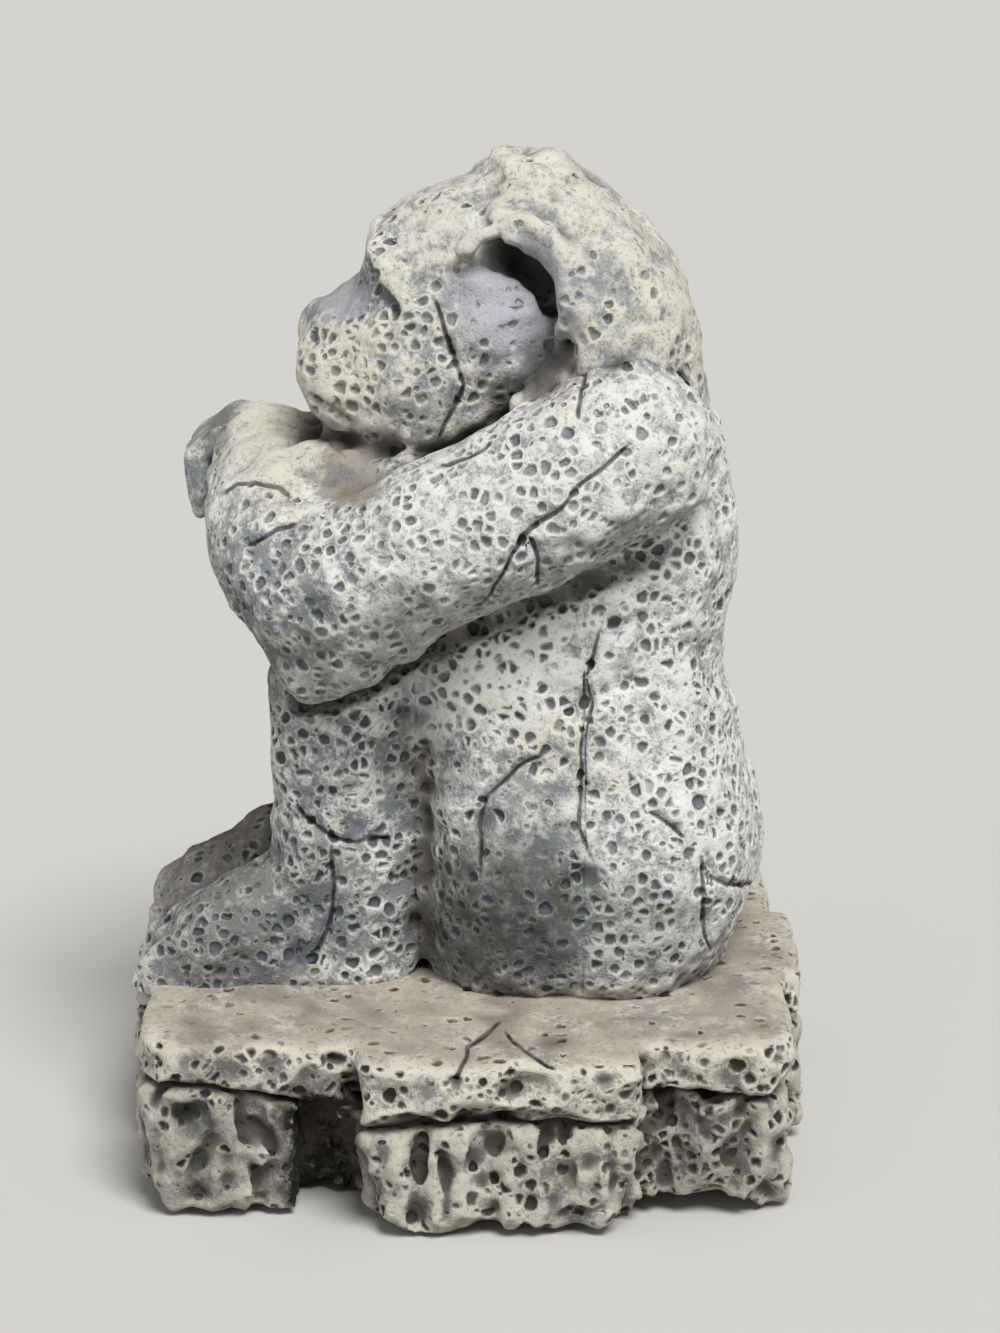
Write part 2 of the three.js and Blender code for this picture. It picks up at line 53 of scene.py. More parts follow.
# Where the picture was taken from: the figure's left side, a little above it
photoView = {
    "lookAt": (0, 2.4, 35.0),
    "elevation": 16,
    "distance": 295.2,
    "lens": 106.95,
    "sensor": 36,
    "clip": (0.01, 10),  # in metres
    "rayFrom": 230,  # where a ray from the camera starts and stops looking for clay
    "rayTo": 330,
    "rayStep": 0.08,
}
pictureSize = (1000, 1333)


def viewAxes():
    tilt = math.radians(photoView["elevation"])
    back = np.array([math.cos(tilt), 0, math.sin(tilt)])
    up = np.array([-math.sin(tilt), 0, math.cos(tilt)])
    focal = photoView["lens"] / photoView["sensor"] * pictureSize[1]
    return back, up, focal


def addCamera(view):
    back = Vector(viewAxes()[0])
    data = bpy.data.cameras.new("photo camera")
    data.lens, data.sensor_width = view["lens"], view["sensor"]
    data.clip_start, data.clip_end = view["clip"]
    camera = bpy.data.objects.new("photo camera", data)
    bpy.context.scene.collection.objects.link(camera)
    camera.location = (Vector(view["lookAt"]) + back * view["distance"]) / metre
    camera.rotation_euler = (-back).to_track_quat("-Z", "Y").to_euler()
    bpy.context.scene.camera = camera


# Picture points of places on the figure in mm. Side -1 gives the far side as a mirror would show it
def pictureOf(points, side=1):
    back, up, focal = viewAxes()
    apart = (points - np.array(photoView["lookAt"])) * (side, 1, 1)
    depth = photoView["distance"] - apart @ back
    right = pictureSize[0] / 2 + focal * apart[:, 1] / depth
    down = pictureSize[1] / 2 - focal * (apart @ up) / depth
    return np.stack([right, down], 1)


addCamera(photoView)

# Voxel clay. Fields hold the distance to a skin in mm, negative inside
clay = {"voxel": 0.25, "band": 2.4, "seed": 11}


def workVolume(low, high):
    step = clay["voxel"]
    axes = [np.arange(a, b + step / 2, step, dtype=np.float32) for a, b in zip(low, high)]
    x, y, z = np.meshgrid(*axes, indexing="ij", sparse=True)
    place = [[step, 0, 0, 0], [0, step, 0, 0], [0, 0, step, 0], [*low, 1]]
    shape = tuple(len(a) for a in axes)
    return {"low": np.array(low, np.float32), "shape": shape, "x": x, "y": y, "z": z, "place": place}


def castingField(volume, node):
    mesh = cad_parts[node].data
    mesh.calc_loop_triangles()
    points = np.empty(len(mesh.vertices) * 3, np.float32)
    mesh.vertices.foreach_get("co", points)
    corners = np.empty(len(mesh.loop_triangles) * 3, np.int32)
    mesh.loop_triangles.foreach_get("vertices", corners)
    grid = vdb.FloatGrid.createLevelSetFromPolygons(
        points.reshape(-1, 3) * metre,
        triangles=corners.reshape(-1, 3).astype(np.uint32),
        transform=vdb.createLinearTransform(volume["place"]),
        halfWidth=clay["band"] / clay["voxel"],
    )
    field = np.empty(volume["shape"], np.float32)
    grid.copyToArray(field)
    return field


# Blurs a field, which rounds its edges. The radius is in mm, and may differ along x, y and z
def soften(field, radius):
    rx, ry, rz = np.broadcast_to(radius, 3)
    step = clay["voxel"]
    fx = np.fft.fftfreq(field.shape[0], step)[:, None, None] * rx
    fy = np.fft.fftfreq(field.shape[1], step)[None, :, None] * ry
    fz = np.fft.rfftfreq(field.shape[2], step)[None, None, :] * rz
    blur = np.exp(-2 * math.pi**2 * (fx**2 + fy**2 + fz**2))
    return np.fft.irfftn(np.fft.rfftn(field) * blur, field.shape).astype(np.float32)


# How much clay lies around each place, within so many mm: more than half in hollows, less on edges
def hollowsOf(field, reach):
    solid = (field < 0).astype(np.float32)
    return {key: soften(solid, radius) for key, radius in reach.items()}


# Random lumps of about one unit, with the size of a lump in mm
def lumps(volume, size, seed):
    noise = np.random.default_rng(clay["seed"] + seed).standard_normal(volume["shape"])
    noise = soften(noise, size)
    return noise / noise.std()


def meld(a, b, fillet):
    share = np.clip(0.5 + 0.5 * (b - a) / fillet, 0, 1)
    return b + (a - b) * share - fillet * share * (1 - share)


# The part of a volume around some points
def nearby(volume, points, reach):
    step = clay["voxel"]
    low = ((points.min(0) - reach - volume["low"]) / step).astype(int)
    high = ((points.max(0) + reach - volume["low"]) / step).astype(int) + 2
    box = tuple(slice(max(0, int(a)), max(0, int(b))) for a, b in zip(low, high))
    return box, volume["x"][box[0]], volume["y"][:, box[1]], volume["z"][:, :, box[2]]


# Adds or cuts a roll of clay through (x, y, z, radius) points
def roll(volume, field, points, fillet, cut=False):
    points = np.array(points, np.float32)
    box, x, y, z = nearby(volume, points[:, :3], points[:, 3].max() + clay["band"])
    tool = None
    for a, b in zip(points[:-1], points[1:]):
        run = b[:3] - a[:3]
        t = ((x - a[0]) * run[0] + (y - a[1]) * run[1] + (z - a[2]) * run[2]) / max(run @ run, tiny)
        t = np.clip(t, 0, 1)
        gap = (x - a[0] - t * run[0]) ** 2 + (y - a[1] - t * run[1]) ** 2 + (z - a[2] - t * run[2]) ** 2
        part = np.sqrt(gap) - a[3] - t * (b[3] - a[3])
        tool = part if tool is None else np.minimum(tool, part)
    field[box] = -meld(-field[box], tool, fillet) if cut else meld(field[box], tool, fillet)


# Adds or cuts an egg of clay, as a centre and three radii
def egg(volume, field, centre, radii, fillet, cut=False):
    centre, radii = np.array(centre, np.float32), np.array(radii, np.float32)
    box, x, y, z = nearby(volume, np.stack([centre - radii, centre + radii]), clay["band"])
    x, y, z = x - centre[0], y - centre[1], z - centre[2]
    near = np.sqrt((x / radii[0]) ** 2 + (y / radii[1]) ** 2 + (z / radii[2]) ** 2)
    steep = np.sqrt((x / radii[0] ** 2) ** 2 + (y / radii[1] ** 2) ** 2 + (z / radii[2] ** 2) ** 2)
    tool = near * (near - 1) / np.maximum(steep, tiny)
    field[box] = -meld(-field[box], tool, fillet) if cut else meld(field[box], tool, fillet)


def bothSides(shape, volume, field, points, *rest, **options):
    for side in (1, -1):
        turned = np.array(points, np.float32)
        turned[..., 0] *= side
        shape(volume, field, turned, *rest, **options)


# A field's values at some points, between its voxels too
def valuesAt(volume, field, points):
    lastCell = np.array(volume["shape"]) - 1.001
    place = np.clip((points - volume["low"]) / clay["voxel"], 0, lastCell)
    i = place.astype(int)
    t = place - i
    total = 0
    for corner in np.ndindex(2, 2, 2):
        weight = np.prod(np.where(corner, t, 1 - t), axis=1)
        total = total + weight * field[tuple((i + corner).T)]
    return total


# The place on the clay that shows at a picture point, lifted off it by so many mm
def spotOn(volume, field, point, lift):
    back, up, focal = viewAxes()
    ray = up * (pictureSize[1] / 2 - point[1]) / focal - back
    ray[1] += (point[0] - pictureSize[0] / 2) / focal
    ray /= np.linalg.norm(ray)
    eye = np.array(photoView["lookAt"]) + back * photoView["distance"]
    far = np.arange(photoView["rayFrom"], photoView["rayTo"], photoView["rayStep"])
    steps = eye + ray * far[:, None]
    inside = valuesAt(volume, field, steps) < 0
    assert inside.any(), f"no clay at picture point {point}"
    return steps[inside.argmax()] - ray * lift


# A line of picture points, given as (right, down, radius, lift), laid on the clay as (x, y, z, radius)
def laidOn(volume, field, line):
    return [(*spotOn(volume, field, (right, down), lift), radius) for right, down, radius, lift in line]


# Rolls clay on, or cuts it, along picture points on both sides
def press(volume, field, line, fillet, cut=False):
    bothSides(roll, volume, field, laidOn(volume, field, line), fillet, cut=cut)


def skinOf(volume, field):
    grid = vdb.FloatGrid(clay["band"])
    grid.copyFromArray(np.ascontiguousarray(field, np.float32))
    grid.transform = vdb.createLinearTransform(volume["place"])
    points, quads = grid.convertToQuads(0)
    return points.astype(float), quads


# Figure
slabTop = 13.4
figure = {
    "low": (-20.4, -27, 11.8),
    "high": (20.4, 25.2, 75.4),
    "swell": 0.2,  # closes the glue gaps
    "sunk": 0.9,  # how far the figure reaches into the slab
    "footing": 0.7,  # below this height over the slab, walls run straight down
    "roundBody": 1.5,
    "roundLimb": 0.9,
    "roundHead": 0.8,
    "roundEar": 0.45,
    "roundFoot": 0.55,
    "roundHand": 0.4,
    "shinFillet": 1.4,
    "footFillet": 1.2,
    "armFillet": 0.15,
    "headFillet": 1.5,
}
figureNodes = {
    "torso": "roundBody",
    "left_thigh": "roundBody",
    "right_thigh": "roundBody",
    "left_shin": "roundLimb",
    "right_shin": "roundLimb",
    "left_foot": "roundFoot",
    "right_foot": "roundFoot",
    "left_arm": "roundLimb",
    "right_arm": "roundLimb",
    "left_hand": "roundHand",
    "head": "roundHead",
    "left_ear": "roundEar",
    "right_ear": "roundEar",
}
volume = workVolume(figure["low"], figure["high"])
castings = {node: castingField(volume, node) for node in figureNodes}

# What stands on the slab runs on down into it, so that no edge is rounded off there
floorLayer = int((slabTop + figure["footing"] - figure["low"][2]) / clay["voxel"])
for field in castings.values():
    field[:, :, :floorLayer] = field[:, :, floorLayer : floorLayer + 1]


def rounded(*nodes):
    field = np.minimum.reduce([castings[n] for n in nodes]) - figure["swell"]
    return soften(field, figure[figureNodes[nodes[0]]])


print("clay blocked out")
skin = rounded("torso", "left_thigh", "right_thigh")
shins = np.minimum(rounded("left_shin"), rounded("right_shin"))
feet = np.minimum(rounded("left_foot"), rounded("right_foot"))
arms = np.minimum(rounded("left_arm"), rounded("right_arm"))
hand = rounded("left_hand")
head = rounded("head")
ears = rounded("left_ear", "right_ear")

# Legs. Lines on the clay are given as (right, down, radius, lift): a picture point, and sizes in mm
leg = {
    "instep": [(322, 850, 1.8, -1.7), (292, 890, 2.2, -1.9), (250, 925, 2.0, -1.7), (200, 950, 1.4, -1.2)],
    "instepFillet": 1.6,
    "calf": [(412, 660, 0.9, -0.3), (415, 740, 1.0, -0.4), (417, 840, 1.0, -0.5), (418, 925, 0.9, -0.4)],
    "calfFillet": 1.2,
}
skin = meld(skin, shins, figure["shinFillet"])
skin = meld(skin, feet, figure["footFillet"])
press(volume, skin, leg["instep"], leg["instepFillet"])
press(volume, skin, leg["calf"], leg["calfFillet"])

# Head: a heavy brow over the eye furrows, a blunt muzzle, a small chin, and ears laid back over the crown
# like a hood
face = {
    "brow": [(378, 250, 0.8, -0.5), (388, 266, 1.1, -0.6), (398, 284, 1.1, -0.7), (406, 298, 0.9, -0.7)],
    "muzzle": [(340, 366, 3.2, -2.8), (348, 390, 3.0, -2.7)],
    "cheek": [(420, 372, 3.4, -3.1), (415, 400, 3.2, -3.0)],
    "chin": [(342, 444, 1.4, -0.9), (372, 448, 1.2, -0.9)],
    "hoodFoot": [(492, 197, 0.8, -0.5), (495, 207, 0.9, -0.6), (498, 216, 0.9, -0.6)],
    "hoodEdge": [(489, 175, 0.6, -0.4), (497, 184, 0.8, -0.5), (505, 193, 0.8, -0.5), (510, 201, 0.8, -0.5)],
    "swellFillet": 0.9,
    "furrow": [(365, 250, 0.4, 0.05), (373, 272, 0.7, 0.05), (382, 292, 0.7, 0.1), (396, 310, 0.45, 0.15)],
    "nostril": [(311, 336, 0.3, 0.1), (316, 339, 0.25, 0.1)],
    "mouth": [(311, 397, 0.35, 0.1), (330, 411, 0.4, 0.1), (350, 426, 0.3, 0.1)],
    "cutFillet": 0.25,
    "earCave": [
        (490, 245, 1.2, -0.8),
        (507, 249, 1.8, -1.4),
        (524, 258, 2.1, -1.8),
        (539, 275, 2.0, -1.8),
        (548, 297, 1.3, -1.0),
    ],
    "caveFillet": 0.6,
    "earLip": [
        (464, 264, 0.2, -0.05),
        (470, 250, 0.35, -0.2),
        (479, 237, 0.5, -0.3),
        (508, 223, 0.75, -0.4),
        (532, 225, 0.85, -0.45),
        (552, 239, 0.9, -0.5),
        (565, 264, 0.95, -0.5),
        (570, 294, 0.95, -0.5),
        (568, 322, 0.85, -0.5),
        (560, 344, 0.6, -0.4),
    ],
    "lipFillet": 0.3,
    "earFillet": 0.4,
    "hoodOver": 70.3,  # the part of the ears that makes the hood's crest
    "hoodHalfWidth": 7.0,
    "hoodFront": 1.5,
    "hoodRake": 0.3,  # the front of the hood runs back to both sides
    "eyeSocket": [(3.9, -9.3, 65.0), (1.9, 1.7, 1.3)],  # centre and radii in mm
    "socketFillet": 0.7,
    "jaw": [(3.0, -8.9, 52.6, 2.0), (4.6, -5.6, 51.9, 2.4)],  # (x, y, z, radius) in mm
    "jawFillet": 1.2,
}
rake = face["hoodFront"] + face["hoodRake"] * np.abs(volume["x"]) - volume["y"]
crest = (volume["z"] > face["hoodOver"]) & (np.abs(volume["x"]) < face["hoodHalfWidth"])
ears = np.where(crest, np.maximum(ears, rake), ears)
skull = meld(head, ears, face["earFillet"])
for name in ("brow", "muzzle", "cheek", "chin", "hoodFoot", "hoodEdge"):
    press(volume, skull, face[name], face["swellFillet"])
bothSides(roll, volume, skull, face["jaw"], face["jawFillet"])
lip = laidOn(volume, skull, face["earLip"])
for name in ("furrow", "nostril", "mouth"):
    press(volume, skull, face[name], face["cutFillet"], cut=True)
press(volume, skull, face["earCave"], face["caveFillet"], cut=True)
bothSides(egg, volume, skull, *face["eyeSocket"], face["socketFillet"], cut=True)
bothSides(roll, volume, skull, lip, face["lipFillet"])

# Arms and hand
arm = {
    "elbow": [(11.6, -8.2, 40.2, 3.4), (11.0, -10.8, 38.9, 3.0)],  # (x, y, z, radius) in mm
    "elbowFillet": 0.9,
    "handFillet": 0.35,
    "shelter": [  # the groove under the arm
        (298, 704, 1.1, 0.0),
        (330, 696, 1.4, -0.2),
        (366, 680, 1.3, -0.1),
        (408, 659, 1.0, 0.0),
        (456, 638, 1.0, 0.0),
        (498, 619, 1.0, 0.0),
        (560, 598, 0.9, 0.0),
        (620, 572, 0.7, 0.0),
        (670, 548, 0.4, 0.0),
    ],
    "shelterFillet": 0.4,
    "chinRest": [  # (x, y, z, radius) in mm
        (4.6, -11.0, 51.4, 1.9),
        (6.2, -8.8, 50.4, 2.5),
        (7.2, -6.4, 50.2, 2.6),
        (8.0, -4.0, 51.0, 2.0),
    ],
    "chinRestFillet": 1.2,
}
bothSides(roll, volume, arms, arm["elbow"], arm["elbowFillet"])
upper = meld(arms, hand, arm["handFillet"])
press(volume, skin, arm["shelter"], arm["shelterFillet"], cut=True)
skin = meld(skin, upper, figure["armFillet"])
skin = meld(skin, skull, figure["headFillet"])
bothSides(roll, volume, skin, arm["chinRest"], arm["chinRestFillet"])

# Hand-pressed unevenness, from broad swells down to grit: size and height in mm, and seed
uneven = {"swell": (2.6, 0.12, 0), "dents": (0.8, 0.12, 1), "grit": (0.4, 0.05, 2)}
for size, height, seed in uneven.values():
    skin = skin + height * lumps(volume, size, seed)
skin = np.maximum(skin, slabTop - figure["sunk"] - volume["z"])
hollows = hollowsOf(skin, {"crevice": 1.6, "edge": 0.55})
print("figure sculpted")

seam = {
    "under": 0.45,  # how steeply a casting goes under the next one past their seam
    "reach": 0.8,  # how far it goes there
    "margin": 3,
}


# One closed casting: the figure's skin up to the seams, going under the next casting past them
def castingSkin(node):
    box = nearby(volume, np.array(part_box(node)) * metre, seam["margin"])[0]
    others = np.minimum.reduce([castings[n][box] for n in figureNodes if n != node])
    past = castings[node][box] - others
    own = np.maximum(skin[box] + seam["under"] * np.maximum(past, 0), past - seam["reach"])
    corner = [low + clay["voxel"] * side.start for low, side in zip(volume["low"], box)]
    cropped = dict(volume, place=[*volume["place"][:3], [*corner, 1]])
    return skinOf(cropped, own)


# Keeps the largest body and drops crumbs
def largestBody(points, quads):
    label = np.arange(len(points))
    while True:
        lowest = label[quads].min(1)
        before = label.copy()
        np.minimum.at(label, quads.ravel(), np.repeat(lowest, 4))
        label = label[label]
        if (label == before).all():
            break
    names, counts = np.unique(label, return_counts=True)
    keep = label == names[counts.argmax()]
    index = np.cumsum(keep) - 1
    return points[keep], index[quads[keep[quads[:, 0]]]]


def pointNormals(points, quads):
    across = np.cross(points[quads[:, 2]] - points[quads[:, 0]], points[quads[:, 3]] - points[quads[:, 1]])
    normals = np.zeros_like(points)
    for i in range(4):
        np.add.at(normals, quads[:, i], across)
    return normals / np.maximum(np.linalg.norm(normals, axis=1, keepdims=True), tiny)


# The last word of a node's name, without its side
def castKind(node):
    return node.split("_")[-1]


def castName(node):
    first, *others = node.split("_")
    return first + "".join(word.capitalize() for word in others) + "Casting"


# Cracks cut into the stone, as picture points on the near side, mirrored to the far side
cracks = {
    "cheek": [(429, 288), (444, 330), (455, 362), (464, 385), (452, 415), (434, 446)],
    "armLong": [(640, 436), (590, 478), (565, 502), (530, 532), (513, 558), (494, 595), (470, 618)],
    "armFork": [(530, 534), (537, 562), (539, 588)],
    "armTop": [(491, 440), (465, 456), (439, 466)],
    "shoulder": [(583, 362), (580, 392), (578, 421)],
    "forearm": [(220, 496), (234, 480), (252, 476), (278, 486), (294, 500)],
    "forearmLow": [(244, 546), (274, 528), (298, 524)],
    "hip": [(604, 614), (585, 677), (591, 701), (582, 742), (582, 783), (579, 830), (591, 856), (597, 871)],
    "thigh": [(556, 748), (521, 768), (489, 795), (481, 824), (478, 880)],
    "haunch": [(648, 809), (665, 822), (685, 839)],
    "rump": [(703, 853), (704, 912), (711, 956)],
    "rumpFork": [(704, 871), (726, 886), (757, 884)],
    "shin": [(292, 795), (304, 816), (328, 838), (357, 842), (401, 837)],
    "ankle": [(330, 841), (331, 883), (327, 922), (319, 950), (304, 964)],
    "slab": [(458, 1085), (467, 1042), (505, 1020)],
    "slabFork": [(505, 1027), (530, 1052), (559, 1073)],
}
crackNodes = {
    "head": ["cheek"],
    "arm": ["armLong", "armFork", "armTop", "shoulder", "forearm", "forearmLow"],
    "thigh": ["hip", "thigh"],
    "torso": ["hip", "haunch", "rump", "rumpFork"],
    "shin": ["shin", "ankle"],
    "foot": ["ankle"],
    "slab": ["slab", "slabFork"],
}
crackCut = {
    "depth": 0.34,
    "halfWidth": 0.26,
    "fade": 0.6,  # how far a crack closes up towards its ends
    "ends": 6,  # over one sixth of its length
    "wander": 0.1,  # how far it strays from its drawn line
    "wanderSize": 1.0,
    "wanderSeeds": (40, 41),
    "turnedAway": -0.1,  # a wall that faces away further than this has no crack
    "none": 2.0,  # stands for no crack nearby
    "pictureScale": 14.2,  # picture points to one mm
}


def crackWander(volume):
    size, seeds = crackCut["wanderSize"], crackCut["wanderSeeds"]
    return [crackCut["wander"] * lumps(volume, size, seed) for seed in seeds]


# How far each point lies from the nearest crack in mm, which closes up towards its ends, and how far to one
# side of its middle
def cracksOver(points, normals, node, wander):
    nearest = np.full(len(points), crackCut["none"])
    aside = nearest.copy()
    for side in (1, -1):
        seen = pictureOf(points, side) / crackCut["pictureScale"] + wander
        away = np.where(normals[:, 0] * side > crackCut["turnedAway"], 0, crackCut["none"])
        for name in crackNodes.get(castKind(node), []):
            line = np.array(cracks[name], float) / crackCut["pictureScale"]
            runs = np.diff(line, axis=0)
            length = np.linalg.norm(runs, axis=1)
            start = np.concatenate([[0], np.cumsum(length)])
            for a, run, size, before in zip(line, runs, length, start):
                apart = seen - a
                t = np.clip(apart @ run / size**2, 0, 1)
                gap = np.linalg.norm(apart - t[:, None] * run, axis=1)
                along = (before + t * size) / start[-1]
                toEnd = np.minimum(along, 1 - along)
                closing = np.clip(1 - crackCut["ends"] * toEnd, 0, 1) * crackCut["fade"]
                left = np.sign(run[0] * apart[:, 1] - run[1] * apart[:, 0])
                closer = gap + closing + away < nearest
                nearest = np.where(closer, gap + closing + away, nearest)
                aside = np.where(closer, gap * left, aside)
    return nearest, aside


def crackDepth(gap):
    return crackCut["depth"] * np.exp(-((gap / crackCut["halfWidth"]) ** 2))


# How the finish, with the shade painted into it, varies over the figure: where each casting starts, and
# patches on it as (picture point, reach in picture points, amount)
finishAndShade = {
    "pitting": {
        "usual": 0.82,
        "start": {"hand": 0.15, "shin": 0.95, "head": 0.6, "ear": 0.3},
        "patches": {
            "noseBridge": ((336, 298), 34, 0.0),
            "earHollow": ((515, 300), 62, 0.4),
            "forehead": ((440, 215), 70, 0.2),
            "hood": ((580, 200), 70, 0.12),
            "muzzle": ((345, 375), 55, 0.95),
            "cheek": ((410, 350), 50, 0.95),
            "hand": ((280, 445), 66, 0.05),
            "thigh": ((525, 815), 84, 0.2),
            "shoulder": ((640, 410), 66, 0.5),
            "elbow": ((300, 600), 80, 0.9),
            "thighTop": ((520, 680), 90, 1.0),
            "back": ((700, 520), 60, 0.7),
            "underChin": ((350, 480), 30, 0.0),
        },
    },
    # Less dry brush on the shin, the thigh's foot, the toes and the forearm paints the shade on the figure's
    # lower left; less under the chin and at the neck paints the shade there
    "brush": {
        "usual": 0.75,
        "start": {"ear": 0.85, "hand": 0.35, "shin": 0.52},
        "patches": {
            "noseBridge": ((336, 298), 40, 0.2),
            "earHollow": ((515, 300), 64, 0.1),
            "forehead": ((440, 205), 66, 0.85),
            "hand": ((280, 440), 66, 1.0),
            "muzzle": ((345, 375), 60, 1.0),
            "jaw": ((415, 395), 46, 0.55),
            "earBack": ((605, 300), 46, 0.6),
            "neck": ((550, 370), 30, 0.3),
            "underChin": ((350, 475), 34, 0.2),
            "arm": ((490, 520), 80, 0.8),
            "thighTop": ((500, 690), 84, 1.3),
            "shoulder": ((640, 400), 90, 0.8),
            "flank": ((640, 740), 110, 0.85),
            "thighFoot": ((500, 900), 95, 0.25),
            "thigh": ((480, 800), 95, 0.6),
            "toes": ((230, 930), 90, 0.3),
            "forearm": ((250, 610), 90, 0.35),
        },
    },
    "cream": {
        "usual": 0.15,
        "start": {"ear": 0.65, "head": 0.5},
        "patches": {
            "muzzle": ((345, 375), 60, 0.7),
            "hand": ((280, 445), 66, 0.6),
            "hip": ((560, 760), 60, 0.5),
        },
    },
    "lilac": {
        "usual": 0.0,
        "patches": {
            "earHollow": ((515, 300), 62, 0.95),
            "noseBridge": ((342, 302), 26, 0.5),
            "knee": ((430, 700), 40, 0.4),
        },
    },
    # Dust lies on the feet and the hand; under the chin and at the neck this coat paints brown shade
    "dust": {
        "usual": 0.15,
        "start": {"hand": 0.25, "right_foot": 0.9, "left_foot": 0.35},
        "patches": {
            "hand": ((290, 440), 66, 0.2),
            "farFoot": ((230, 770), 60, 0.9),
            "neck": ((555, 368), 34, 0.5),
            "underChin": ((350, 472), 34, 0.9),
        },
    },
    "wash": {"usual": 0.95, "start": {"arm": 0.62, "torso": 0.8, "head": 0.7, "ear": 0.7, "hand": 0.6}},
    # Soot lies low on the haunch and the feet, and the same coat paints shade there, under the elbow, the
    # arm and the jaw, at the ear's foot and on the fingers
    "soot": {
        "usual": 0.08,
        "start": {"foot": 0.45},
        "patches": {
            "thighFoot": ((505, 925), 100, 0.95),
            "toes": ((230, 940), 90, 0.6),
            "calf": ((415, 760), 50, 0.5),
            "rump": ((640, 940), 60, 0.5),
            "instep": ((300, 900), 70, 0.5),
            "underElbow": ((300, 680), 50, 0.6),
            "underArm": ((410, 636), 55, 0.7),
            "fingers": ((200, 450), 26, 0.8),
            "earFoot": ((545, 352), 24, 0.6),
            "jaw": ((420, 420), 40, 0.35),
        },
    },
}
# A patch fades out at so many times its reach, and over so many mm at the middle of the figure
patchEdge = {"fade": 1.5, "gain": 1.4, "middle": 2}


def amountOver(points, node, look):
    start = look.get("start", {})
    amount = np.full(len(points), start.get(node, start.get(castKind(node), look["usual"])))
    for side in (1, -1):
        seen = pictureOf(points, side)
        facing = np.clip(points[:, 0] * side / patchEdge["middle"] + 0.5, 0, 1)
        for place, reach, value in look.get("patches", {}).values():
            gap = np.linalg.norm(seen - place, axis=1) / reach
            share = np.clip(patchEdge["fade"] - gap, 0, 1) ** 2 * facing
            share = np.minimum(share * patchEdge["gain"], 1)
            amount = amount * (1 - share) + value * share
    return amount


def finishAndShadeOver(volume, node, points, hollows, looks):
    values = {key: valuesAt(volume, field, points) for key, field in hollows.items()}
    values.update({key: amountOver(points, node, look) for key, look in looks.items()})
    return values


def addPiece(name, node, points, quads, values, material):
    mesh = bpy.data.meshes.new(name)
    mesh.from_pydata(points / metre, [], quads)
    for key, value in values.items():
        kind = "FLOAT_VECTOR" if value.ndim == 2 else "FLOAT"
        layer = mesh.attributes.new(key, kind, "POINT")
        layer.data.foreach_set("vector" if value.ndim == 2 else "value", value.astype(np.float32).ravel())
    mesh.shade_smooth()
    mesh.materials.append(material)
    piece = bpy.data.objects.new(name, mesh)
    bpy.context.scene.collection.objects.link(piece)
    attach(piece, "root")
    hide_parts(node)
    return piece


# Materials
def hexColour(code):
    channels = [int(code[i : i + 2], 16) / 255 for i in (0, 2, 4)]
    linear = [c / 12.92 if c <= 0.04045 else ((c + 0.055) / 1.055) ** 2.4 for c in channels]
    return (*linear, 1)


# Adds a node with its settings and links, and gives its outputs
def addNode(tree, kind, inputs, **settings):
    node = tree.nodes.new(kind)
    for key, value in settings.items():
        setattr(node, key, value)
    for key, value in inputs.items():
        if isinstance(value, bpy.types.NodeSocket):
            tree.links.new(value, node.inputs[key])
        else:
            node.inputs[key].default_value = value
    return node.outputs


# Works through a recipe with rows of (result, operation, inputs). An input is a number or a known name.
# LINEAR and SMOOTHSTEP rise from 0 at the second input to 1 at the third, and stay there
def workOut(tree, recipe, known):
    for key, operation, *inputs in recipe:
        inputs = [known.get(value, value) for value in inputs]
        if operation in ("LINEAR", "SMOOTHSTEP"):
            inputs = dict(zip(("Value", "From Min", "From Max"), inputs))
            known[key] = addNode(tree, "ShaderNodeMapRange", inputs, interpolation_type=operation)[0]
        else:
            known[key] = addNode(tree, "ShaderNodeMath", dict(enumerate(inputs)), operation=operation)[0]


# Pits of the cast stone, the same in the mesh and in its paint. Sizes in mm, radii and walls in cells
pits = {
    "large": {"cell": 1.1, "radius": (0.38, 0.6), "depth": 1.0, "share": 1.1},
    "small": {"cell": 0.74, "radius": (0.28, 0.5), "depth": 0.75, "share": 0.5},
    "ridge": 0.07,  # left standing between two pits
    "rim": 0.16,
    "blend": 0.2,
    "onset": 0.125,  # pits near the limit of their share are shallower
    "depth": 0.4,
    "depthDraw": 0.4,  # the share of the depth that is left to chance
    "warp": 0.3,
    "warpSize": 1.6,
    "warpDetail": 2.0,
    "meshWall": 0.28,
    "paintWall": 0.22,
}
pitRecipe = [
    ("missing", "MULTIPLY", "chance", -1.0),
    ("there", "MULTIPLY_ADD", "amount", "share", "missing"),
    ("there", "LINEAR", "there", 0.0, pits["onset"]),
    ("full", "MULTIPLY_ADD", "depthChance", pits["depthDraw"], 1 - pits["depthDraw"]),
    ("there", "MULTIPLY", "there", "full"),
    ("radius", "MULTIPLY_ADD", "sizeChance", "spread", "least"),
    ("inward", "SUBTRACT", "radius", "fromMiddle"),
    ("fromRidge", "SUBTRACT", "fromEdge", pits["ridge"]),
    ("inward", "SMOOTH_MIN", "inward", "fromRidge", pits["blend"]),
    ("floor", "SMOOTHSTEP", "inward", 0.0, "wall"),
    ("floor", "MULTIPLY", "floor", "there"),
    ("floor", "MULTIPLY", "floor", "depth"),
    ("floors", "MAXIMUM", "floors", "floor"),
    ("rim", "LINEAR", "inward", -pits["rim"], 0.0),
    ("rim", "MULTIPLY", "rim", "there"),
    ("rim", "MULTIPLY", "rim", "depth"),
    ("rims", "MAXIMUM", "rims", "rim"),
]


